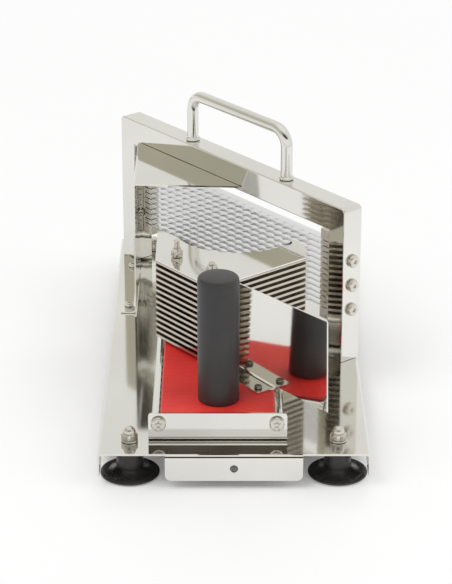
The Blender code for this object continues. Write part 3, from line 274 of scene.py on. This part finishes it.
def milled(name, dark, light):
    """Red polyethylene with the faint arcs that a milling cutter leaves."""
    made, tree, shader = material(name)
    place = node(tree, "ShaderNodeTexCoord")
    mapping = node(tree, "ShaderNodeMapping")
    mapping.inputs["Location"].default_value = (0.05, 0.31, 0)
    wave = node(tree, "ShaderNodeTexWave", Scale=47.0, Distortion=5.5, Detail=3.0)
    wave.wave_type = "RINGS"
    wave.rings_direction = "Z"
    tree.links.new(place.outputs["Object"], mapping.inputs["Vector"])
    tree.links.new(mapping.outputs["Vector"], wave.inputs["Vector"])
    lines = add_up(tree, wave.outputs["Fac"], noise(tree, 420.0, 4.0, (1.0, 0.35, 1.0)), 1.4)
    tone = add_up(tree, noise(tree, 24.0, 5.0), lines, 0.08)
    tree.links.new(ramp(tree, tone, dark, light, (0.35, 0.85)), shader.inputs["Base Color"])
    tree.links.new(spread(tree, noise(tree, 70.0), 0.38, 0.55), shader.inputs["Roughness"])
    bump(tree, shader, lines, 0.10, 0.0004)
    return made


POLISHED = steel("polished_stainless", (0.81, 0.80, 0.76), (0.04, 0.11))
BLADE = steel("blade_steel", (0.86, 0.86, 0.87), (0.22, 0.34), waviness=0.06)
FASTENER = steel("fastener_steel", (0.72, 0.69, 0.62), (0.20, 0.34), waviness=0.10)
PLATES = steel("plate_steel", (0.60, 0.55, 0.47), (0.16, 0.30), (1, 1, 0.1), waviness=0.05)
DARK = steel("dark_screw", (0.28, 0.25, 0.20), (0.26, 0.38), waviness=0.05)
RUBBER = plastic("foot_rubber", (0.018, 0.017, 0.016), (0.032, 0.030, 0.028), (0.18, 0.34), 260.0, 0.08)
RED = milled("red_plastic", (0.68, 0.030, 0.026), (0.92, 0.050, 0.042))
GRIP = plastic("grip_plastic", (0.027, 0.026, 0.026), (0.041, 0.039, 0.039), (0.36, 0.50), 1500.0, 0.35)

LOOKS = {
    "polished_stainless": POLISHED,
    "blade_steel": BLADE,
    "fastener_steel": FASTENER,
    "dark_screw": DARK,
    "foot_rubber": RUBBER,
    "red_plastic": RED,
    "black_grip": GRIP,
}
SLOTS = {entry["node"]: entry["material_slot"] for entry in frame["record"]["subparts"]}
BODIES = {name: body for body, names in frame["record"]["behaviour"]["bodies"].items() for name in names}
for name, slot in SLOTS.items():
    target = frame["nodes"][name]
    target.data.materials.clear()
    target.data.materials.append(PLATES if name == "slotted_pusher" else LOOKS[slot])


# Meshes

def put(name, bm):
    """Makes the piece that stands for the node of this name from a bmesh in the base's own axes."""
    bmesh.ops.recalc_face_normals(bm, faces=bm.faces)
    if bm.calc_volume(signed=True) < 0:
        bmesh.ops.reverse_faces(bm, faces=bm.faces)
    mesh = bpy.data.meshes.new("fine_" + name)
    bm.to_mesh(mesh)
    bm.free()
    mesh.shade_smooth()
    mesh.set_sharp_from_angle(angle=SMOOTH_ANGLE)
    mesh.materials.append(LOOKS[SLOTS[name]])
    made = bpy.data.objects.new("fine_" + name, mesh)
    bpy.context.collection.objects.link(made)
    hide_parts(name)
    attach(made, BODIES[name])
    return made


def flatten(piece):
    """Keeps flat faces flat in the shading where they meet a bend or a round edge."""
    change = piece.modifiers.new("flat", "WEIGHTED_NORMAL")
    change.keep_sharp = True
    change.weight = FLAT_WEIGHT


def span(name, axis):
    """How far the node reaches along an axis."""
    values = [vert.co.dot(axis) for vert in frame["nodes"][name].data.vertices]
    return min(values), max(values)


def standing(name, axis):
    """The matrix that puts Z on the node's own axis, the node's lowest and highest place on it, and its radius."""
    turn = axis.to_track_quat("Z", "Y").to_matrix()
    side = [span(name, turn.col[i]) for i in range(2)]
    middle = [(low + high) / 2 for low, high in side]
    low, high = span(name, axis)
    return turn.to_4x4() @ Matrix.Translation((*middle, 0)), low, high, (side[0][1] - side[0][0]) / 2


def ring(radius, height, count=SEGMENTS):
    return [(radius, height)] * count


def hex_ring(flats, height, corner=None, slope=0.0):
    """A ring on a hexagon; where it passes the corner radius, its height changes by the slope."""
    made = []
    for i in range(SEGMENTS):
        angle = 2 * math.pi * i / SEGMENTS
        radius = flats / 2 / math.cos(angle % (math.pi / 3) - math.pi / 6)
        past = max(0.0, radius - corner) if corner else 0.0
        made.append((radius, height + past * slope))
    return made


def rounded(centre_radius, centre_height, radius, start, end, steps):
    """Rings along an arc of the profile."""
    made = []
    for i in range(steps + 1):
        angle = start + (end - start) * i / steps
        made.append(ring(centre_radius + radius * math.cos(angle), centre_height + radius * math.sin(angle)))
    return made


def turned(rings, matrix):
    """A closed solid from rings of radius and height round Z."""
    bm = bmesh.new()
    rows = []
    for points in rings:
        turn = 2 * math.pi / len(points)
        rows.append([
            bm.verts.new(matrix @ Vector((radius * math.cos(turn * i), radius * math.sin(turn * i), height)))
            for i, (radius, height) in enumerate(points)
        ])
    join(bm, rows)
    bm.faces.new(rows[0])
    bm.faces.new(rows[-1])
    return bm


def join(bm, rows):
    """Faces from each row of corners to the next."""
    for before, after in zip(rows, rows[1:]):
        for i in range(len(before)):
            k = (i + 1) % len(before)
            bm.faces.new([before[i], before[k], after[k], after[i]])


# Feet and their nuts

def make_foot(name):
    """A suction cup with a round lip and a dished top, its neck and its stud."""
    matrix, _, high, radius = standing(name, UP)
    lip = CUP_LIP
    land = radius - CUP_LAND
    rings = [ring(FOOT_STUD, CUP_ROOF), ring(FOOT_NECK, CUP_ROOF), ring(land - CUP_LAND_WIDTH, 0.0), ring(land, 0.0)]
    rings += rounded(radius - lip, lip + lip, lip, -math.pi / 2, math.pi / 2, 8)
    dish = radius - CUP_DISH
    rings += rounded(dish, 3 * lip, lip / 3, 0, math.pi / 2, 3)
    for i in range(1, CUP_STEPS + 1):
        share = i / CUP_STEPS
        height = 3 * lip + (FOOT_SHOULDER - 3 * lip) * share**CUP_CURVE
        rings.append(ring(dish - (dish - FOOT_NECK) * share, height))
    rings += [ring(FOOT_NECK, FOOT_TOP - FOOT_EDGE), ring(FOOT_NECK - FOOT_EDGE, FOOT_TOP)]
    rings += [ring(FOOT_STUD, FOOT_TOP), ring(FOOT_STUD, high)]
    put(name, turned(rings, matrix))


def make_cap_nut(name):
    """A washer, a hexagon with its corners turned down, and the dome."""
    matrix, low, high, radius = standing(name, UP)
    edge = NUT_EDGE
    chamfer = CAP_NUT_CHAMFER
    dome = CAP_RADIUS - edge
    seat = low + WASHER
    top = seat + CAP_NUT_HEIGHT
    neck = top + CAP_NUT_NECK
    rings = [ring(CAP_RADIUS, low), ring(radius - edge, low), ring(radius, low + edge), ring(radius, seat - edge)]
    rings += [ring(radius - edge, seat), ring(CAP_RADIUS, seat)]
    rings += [hex_ring(CAP_NUT_FLATS, seat + edge, chamfer, NUT_SLOPE)]
    rings += [hex_ring(CAP_NUT_FLATS, top - edge, chamfer, -NUT_SLOPE), ring(chamfer - edge, top)]
    rings += [ring(dome, top), ring(dome, neck)]
    for i in range(1, CAP_STEPS):
        angle = i / CAP_STEPS * math.pi / 2
        rings.append(ring(dome * math.cos(angle), neck + (high - neck) * math.sin(angle)))
    put(name, turned(rings, matrix))


# Screws

def make_screw(name, axis, head, socket, crown):
    """A domed screw with a shallow hexagon socket: the head's height is given, its radius is the node's."""
    matrix, low, high, radius = standing(name, axis)
    seat = high - head
    shank = radius * 0.45
    floor = seat + head * 0.60
    rings = [ring(shank, low), ring(shank, seat), ring(radius * 0.97, seat), ring(radius, seat + head * 0.10)]
    for i in range(1, HEAD_STEPS):
        angle = i / HEAD_STEPS * math.pi / 2
        inwards = radius * (1 - crown) * (1 - math.cos(angle))
        rings.append(ring(radius - inwards, seat + head * (0.10 + 0.90 * math.sin(angle))))
    rings += [ring(socket * 0.66, high), hex_ring(socket, high - head * 0.10), hex_ring(socket, floor)]
    rings += [ring(socket * 0.10, floor - head * 0.10)]
    put(name, turned(rings, matrix))


# Bolts and nuts on the top plate

def make_tie_bolt(name):
    """A bolt whose visible end has a thread that climbs once round each turn."""
    matrix, low, high, radius = standing(name, UP)
    thread = high - THREAD_LENGTH
    rings = [ring(radius, low), ring(radius, thread)]
    count = int((high - thread) / THREAD_PITCH)
    for turn in range(count):
        for share, depth in THREAD_PROFILE:
            height = thread + (turn + share) * THREAD_PITCH
            rings.append([
                (radius - THREAD_DEPTH * depth, min(height + THREAD_PITCH * i / SEGMENTS, high - 0.0004))
                for i in range(SEGMENTS)
            ])
    rings += [ring(radius - THREAD_DEPTH, high - 0.0003), ring(radius - 2 * THREAD_DEPTH, high)]
    put(name, turned(rings, matrix))


def make_top_nut(name):
    """A locking nut with its collar, open round the bolt."""
    matrix, low, high, _ = standing(name, UP)
    edge = NUT_EDGE
    chamfer = TOP_NUT_CHAMFER
    crown = TOP_NUT_CROWN
    bore = TOP_NUT_BORE
    top = low + TOP_NUT_HEIGHT
    rings = [ring(bore, low), ring(chamfer - edge, low), hex_ring(TOP_NUT_FLATS, low + edge, chamfer, NUT_SLOPE)]
    rings += [hex_ring(TOP_NUT_FLATS, top - edge, chamfer, -NUT_SLOPE), ring(chamfer - edge, top), ring(crown, top)]
    rings += rounded(crown - 2 * edge, high - 2 * edge, 2 * edge, 0, math.pi / 2, 3)
    rings += [ring(bore, high), ring(bore, low + edge)]
    bm = turned(rings, matrix)
    lids = [face for face in bm.faces if len(face.verts) == SEGMENTS]
    bmesh.ops.delete(bm, geom=lids, context="FACES_ONLY")
    bmesh.ops.bridge_loops(bm, edges=[open_edge for open_edge in bm.edges if len(open_edge.link_faces) == 1])
    put(name, bm)


# Grip

def make_grip():
    """A round bar with a cap whose seam shows as a fine step under the round shoulder."""
    matrix, low, high, radius = standing("grip", UP)
    soft = GRIP_SHOULDER
    edge = GRIP_EDGE
    step, rise = GRIP_CAP_STEP
    rings = [ring(radius * 0.5, low), ring(radius - edge, low)]
    rings += rounded(radius - edge, low + edge, edge, -math.pi / 2, 0, 4)
    rings += [ring(radius, high - GRIP_CAP), ring(radius - step, high - GRIP_CAP + rise)]
    rings += rounded(radius - soft, high - soft - 0.0006, soft - rise, 0, math.pi * 0.46, 9)
    rings += [ring(radius * 0.5, high - 0.0001), ring(radius * 0.1, high)]
    put("grip", turned(rings, matrix))


# Blade frame and handle

def frame_point(u, v, z):
    return ALONG * u + ACROSS * v + UP * z


def make_blade_frame():
    """The bent square tube with its round edges."""
    left, right = span("blade_frame", ALONG)
    front, back = span("blade_frame", ACROSS)
    low, high = span("blade_frame", UP)
    corner = TUBE_CORNER
    outline = [(left, low)]
    for centre, start in ((left + corner, math.pi), (right - corner, math.pi / 2)):
        for i in range(9):
            angle = start - i * math.pi / 16
            outline.append((centre + corner * math.cos(angle), high - corner + corner * math.sin(angle)))
    outline += [(right, low), (right - POST, low), (right - POST, high - BAR)]
    outline += [(left + POST, high - BAR), (left + POST, low)]
    bm = bmesh.new()
    rows = [[bm.verts.new(frame_point(u, v, z)) for u, z in outline] for v in (front, back)]
    join(bm, rows)
    bm.faces.new(rows[0])
    bm.faces.new(rows[1])
    bmesh.ops.recalc_face_normals(bm, faces=bm.faces)
    sharp = [edge for edge in bm.edges if edge.calc_face_angle(0) > SMOOTH_ANGLE]
    sharp = [edge for edge in sharp if max(vert.co.z for vert in edge.verts) > low + FOOT_OF_POST]
    bmesh.ops.bevel(bm, geom=sharp, offset=TUBE_EDGE, segments=3, profile=0.5, affect="EDGES")
    made = put("blade_frame", bm)
    for side in ("left", "right"):
        matrix = standing("handle_screw_" + side, DOWN)[0]
        hole = turned([ring(ACCESS_RADIUS, -high + TUBE_WALL), ring(ACCESS_RADIUS, -high + 2 * BAR)], matrix)
        cut(made, hole)
    flatten(made)


def cut(target, bm):
    """Takes the volume of a bmesh out of a piece."""
    bmesh.ops.recalc_face_normals(bm, faces=bm.faces)
    mesh = bpy.data.meshes.new("cutter")
    bm.to_mesh(mesh)
    bm.free()
    cutter = bpy.data.objects.new("cutter", mesh)
    bpy.context.collection.objects.link(cutter)
    change = target.modifiers.new("cut", "BOOLEAN")
    change.operation = "DIFFERENCE"
    change.solver = "EXACT"
    change.object = cutter
    graph = bpy.context.evaluated_depsgraph_get()
    made = bpy.data.meshes.new_from_object(target.evaluated_get(graph))
    target.modifiers.clear()
    target.data = made
    made.set_sharp_from_angle(angle=SMOOTH_ANGLE)
    bpy.data.objects.remove(cutter, do_unlink=True)


def make_handle():
    """A round bar bent twice, with a collar at each foot."""
    left, right = span("carry_handle", ALONG)
    front, back = span("carry_handle", ACROSS)
    low, high = span("carry_handle", UP)
    middle = (front + back) / 2
    left += COLLAR_RADIUS
    right -= COLLAR_RADIUS
    top = high - HANDLE_RADIUS
    bend = HANDLE_BEND
    collar = low + COLLAR_HEIGHT
    edge = COLLAR_EDGE
    foot = [(low, COLLAR_RADIUS - edge), (low + edge, COLLAR_RADIUS), (collar - edge, COLLAR_RADIUS)]
    foot += [(collar, COLLAR_RADIUS - edge), (collar, HANDLE_RADIUS)]
    path = [((left, z), radius, UP) for z, radius in foot]
    for centre, start in ((left + bend, math.pi), (right - bend, math.pi / 2)):
        for i in range(13):
            angle = start - i * math.pi / 24
            place = (centre + bend * math.cos(angle), top - bend + bend * math.sin(angle))
            ahead = ALONG * math.sin(angle) - UP * math.cos(angle)
            path.append((place, HANDLE_RADIUS, ahead))
    path += [((right, z), radius, DOWN) for z, radius in reversed(foot)]
    bm = bmesh.new()
    rows = []
    for (u, z), radius, ahead in path:
        up = ahead.cross(ACROSS)
        row = []
        for i in range(SEGMENTS):
            angle = 2 * math.pi * i / SEGMENTS
            outwards = ACROSS * math.cos(angle) + up * math.sin(angle)
            row.append(bm.verts.new(frame_point(u, middle, z) + outwards * radius))
        rows.append(row)
    join(bm, rows)
    bm.faces.new(rows[0])
    bm.faces.new(rows[-1])
    put("carry_handle", bm)


# Blades

def scallop(u, left, right):
    """How deep the wave of the edge is at a place along the blade, from 0 on a tip to 1 in a hollow."""
    first = (left + right - SCALLOP_COUNT * SCALLOP_PITCH) / 2
    share = (u - first) / SCALLOP_PITCH
    if share <= 0 or share >= SCALLOP_COUNT:
        return 0.0
    return abs(math.sin(math.pi * share)) ** SCALLOP_POWER


def make_blade(name):
    """A thin blade whose upper side is ground hollow from scallop to scallop."""
    left, right = span(name, ALONG)
    front, back = span(name, ACROSS)
    low, high = span(name, UP)
    first = (left + right - SCALLOP_COUNT * SCALLOP_PITCH) / 2
    places = [left, first - GRIND_WIDTH / 2]
    places += [first + i * SCALLOP_PITCH / SCALLOP_STEPS for i in range(SCALLOP_COUNT * SCALLOP_STEPS + 1)]
    places += [first + SCALLOP_COUNT * SCALLOP_PITCH + GRIND_WIDTH / 2, right]
    bm = bmesh.new()
    rows = []
    for u in places:
        depth = scallop(u, left, right)
        ground = u not in (places[0], places[1], places[-2], places[-1])
        edge = front + SCALLOP_DEPTH * (depth if ground else 1)
        grind = GRIND_WIDTH * (GRIND_LEAST + (1 - GRIND_LEAST) * depth)
        rise = high - low - BLADE_EDGE
        section = [(edge, low), (edge, low + BLADE_EDGE + (0 if ground else rise))]
        for share, lift in GRIND_PROFILE:
            section.append((edge + grind * share, low + BLADE_EDGE + rise * (lift if ground else 1)))
        section += [(back, high), (back, low)]
        rows.append([bm.verts.new(frame_point(u, v, z)) for v, z in section])
    join(bm, rows)
    bm.faces.new(rows[0])
    bm.faces.new(rows[-1])
    put(name, bm)


# Front bracket

def make_front_bracket():
    """A plate that leans back a little round its middle, with round corners, bent to the foot under the slider."""
    left, right = span("front_bracket", Vector((1, 0, 0)))
    front, back = span("front_bracket", Vector((0, 1, 0)))
    low, high = span("front_bracket", UP)
    corner = BRACKET_CORNER
    bend = BRACKET_BEND
    angles = [i * math.pi / 12 for i in range(7)]
    columns = [(left + corner * (1 - math.cos(angle)), corner * (1 - math.sin(angle))) for angle in angles]
    columns += [(left + right - x, drop) for x, drop in reversed(columns)]
    outer_foot = front - BRACKET_SHIFT + bend
    outer = [(back, low), (outer_foot, low)]
    inner = [(back, low + SHEET), (outer_foot, low + SHEET)]
    for i in range(1, 7):
        angle = -math.pi / 2 - i * math.pi / 12
        for line, radius in ((outer, bend), (inner, bend - SHEET)):
            line.append((outer_foot + radius * math.cos(angle), low + bend + radius * math.sin(angle)))
    bm = bmesh.new()
    rows = []
    for x, drop in columns:
        top = high - drop
        front_line = outer + [(front + BRACKET_SHIFT, top)]
        back_line = inner + [(front + SHEET + BRACKET_SHIFT, top)]
        rows.append([bm.verts.new((x, y, z)) for y, z in front_line + back_line[::-1]])
    join(bm, rows)
    bm.faces.new(rows[0])
    bm.faces.new(rows[-1])
    flatten(put("front_bracket", bm))


for corner_name in ("front_left", "front_right", "rear_left", "rear_right"):
    make_foot("suction_foot_" + corner_name)
    make_cap_nut("foot_nut_" + corner_name)
for index in (1, 2):
    make_screw(f"left_holder_bolt_{index}", -ALONG, *END_BOLT)
for index in (1, 2, 3):
    make_screw(f"tension_bolt_{index}", ALONG, *END_BOLT)
for side_name in ("left", "right"):
    make_screw("rod_screw_" + side_name, FRONT, *ROD_SCREW)
    make_screw("hand_plate_screw_" + side_name, UP, *PLATE_SCREW)
    make_tie_bolt("top_plate_bolt_" + side_name)
    make_top_nut("top_plate_nut_" + side_name)
for place_name in ("front", "rear"):
    make_screw("guard_screw_" + place_name, UP, *GUARD_SCREW)
make_grip()
make_front_bracket()
make_blade_frame()
make_handle()
for index in range(1, BLADE_COUNT + 1):
    make_blade(f"blade_{index:02d}")


# Studio

def make_camera():
    data = bpy.data.cameras.new("camera")
    data.sensor_width = SENSOR
    data.lens = CAMERA_LENS
    camera = bpy.data.objects.new("camera", data)
    camera.location = CAMERA_PLACE
    camera.rotation_euler = (math.pi / 2 - CAMERA_PITCH, 0, 0)
    bpy.context.collection.objects.link(camera)
    bpy.context.scene.camera = camera


def make_light(name, place, size, energy):
    """A soft lamp that looks at the object and doesn't show in the metal."""
    data = bpy.data.lights.new(name, "AREA")
    data.shape = "RECTANGLE"
    data.size, data.size_y = size
    data.energy = energy
    lamp = bpy.data.objects.new(name, data)
    lamp.location = place
    lamp.rotation_euler = (Vector(LIGHT_TARGET) - Vector(place)).to_track_quat("-Z", "Y").to_euler()
    lamp.visible_glossy = False
    bpy.context.collection.objects.link(lamp)


def sky(tree, height, stops):
    """A colour by height."""
    made = node(tree, "ShaderNodeValToRGB")
    elements = made.color_ramp.elements
    while len(elements) < len(stops):
        elements.new(0.5)
    for element, (place, colour) in zip(elements, stops):
        element.position = place
        element.color = (*colour, 1)
    tree.links.new(height, made.inputs["Fac"])
    return made.outputs["Color"]


def make_world():
    """White behind the object; the metal sees a pale studio, olive to the left and brown at the front."""
    world = bpy.data.worlds.new("studio")
    bpy.context.scene.world = world
    world.use_nodes = True
    tree = world.node_tree
    tree.nodes.clear()
    path = node(tree, "ShaderNodeLightPath")
    place = node(tree, "ShaderNodeTexCoord")
    split = node(tree, "ShaderNodeSeparateXYZ")
    tree.links.new(place.outputs["Generated"], split.inputs["Vector"])
    far = sky(tree, split.outputs["Z"], FAR_SKY)
    left = sky(tree, split.outputs["Z"], LEFT_SKY)
    near = sky(tree, split.outputs["Z"], NEAR_SKY)
    to_left = node(tree, "ShaderNodeMix", data_type="RGBA")
    tree.links.new(spread(tree, split.outputs["X"], 1.0, 0.0, *LEFT_FROM), to_left.inputs["Factor"])
    tree.links.new(far, to_left.inputs["A"])
    tree.links.new(left, to_left.inputs["B"])
    to_near = node(tree, "ShaderNodeMix", data_type="RGBA")
    tree.links.new(spread(tree, split.outputs["Y"], 1.0, 0.0, *NEAR_FROM), to_near.inputs["Factor"])
    tree.links.new(to_left.outputs["Result"], to_near.inputs["A"])
    tree.links.new(near, to_near.inputs["B"])
    backdrop = node(tree, "ShaderNodeBackground", Color=(1, 1, 1, 1), Strength=1.0)
    seen = node(tree, "ShaderNodeBackground", Strength=1.0)
    fill = node(tree, "ShaderNodeBackground", Color=FILL_COLOUR, Strength=FILL_STRENGTH)
    tree.links.new(to_near.outputs["Result"], seen.inputs["Color"])
    glossy = node(tree, "ShaderNodeMixShader")
    camera = node(tree, "ShaderNodeMixShader")
    tree.links.new(path.outputs["Is Glossy Ray"], glossy.inputs["Fac"])
    tree.links.new(fill.outputs["Background"], glossy.inputs[1])
    tree.links.new(seen.outputs["Background"], glossy.inputs[2])
    tree.links.new(path.outputs["Is Camera Ray"], camera.inputs["Fac"])
    tree.links.new(glossy.outputs["Shader"], camera.inputs[1])
    tree.links.new(backdrop.outputs["Background"], camera.inputs[2])
    out = node(tree, "ShaderNodeOutputWorld")
    tree.links.new(camera.outputs["Shader"], out.inputs["Surface"])


def make_floor():
    """A pale floor that keeps the object's shadow and grows plain white away from it."""
    bm = bmesh.new()
    bmesh.ops.create_grid(bm, x_segments=1, y_segments=1, size=FLOOR_SIZE)
    mesh = bpy.data.meshes.new("floor")
    bm.to_mesh(mesh)
    bm.free()
    floor = bpy.data.objects.new("floor", mesh)
    floor.location = (0, 0, cad_box[0][2])
    bpy.context.collection.objects.link(floor)
    made, tree, shader = material("floor", roughness=0.6)
    paint = ramp(tree, noise(tree, 2.0), (0.95, 0.95, 0.955), (0.98, 0.98, 0.985))
    tree.links.new(paint, shader.inputs["Base Color"])
    path = node(tree, "ShaderNodeLightPath")
    place = node(tree, "ShaderNodeTexCoord")
    mapping = node(tree, "ShaderNodeMapping")
    mapping.inputs["Scale"].default_value = FLOOR_OVAL
    tree.links.new(place.outputs["Object"], mapping.inputs["Vector"])
    away = node(tree, "ShaderNodeVectorMath", operation="LENGTH")
    tree.links.new(mapping.outputs["Vector"], away.inputs[0])
    glossy = add_up(tree, path.outputs["Is Camera Ray"], path.outputs["Is Glossy Ray"], FLOOR_GLOW_METAL)
    near = spread(tree, away.outputs["Value"], *FLOOR_GLOW, *FLOOR_REACH)
    far = spread(tree, away.outputs["Value"], *FLOOR_FAR_GLOW, *FLOOR_FAR_REACH)
    product = node(tree, "ShaderNodeMath", operation="MULTIPLY")
    tree.links.new(add_up(tree, near, far, 1.0), product.inputs[0])
    tree.links.new(glossy, product.inputs[1])
    share = product.outputs["Value"]
    glow = node(tree, "ShaderNodeEmission", Color=(1, 1, 1, 1), Strength=1.0)
    mixed = node(tree, "ShaderNodeMixShader")
    tree.links.new(share, mixed.inputs["Fac"])
    tree.links.new(shader.outputs["BSDF"], mixed.inputs[1])
    tree.links.new(glow.outputs["Emission"], mixed.inputs[2])
    tree.links.new(mixed.outputs["Shader"], tree.nodes["Material Output"].inputs["Surface"])
    floor.data.materials.append(made)


make_camera()
make_world()
make_floor()
make_light("key", (-0.9, -0.6, 1.6), (1.2, 1.2), 13)
make_light("fill", (1.2, -0.4, 1.1), (1.0, 1.0), 7)
make_light("rear", (0.2, 1.5, 1.2), (1.6, 0.6), 5)
bpy.context.scene.view_settings.view_transform = "Standard"
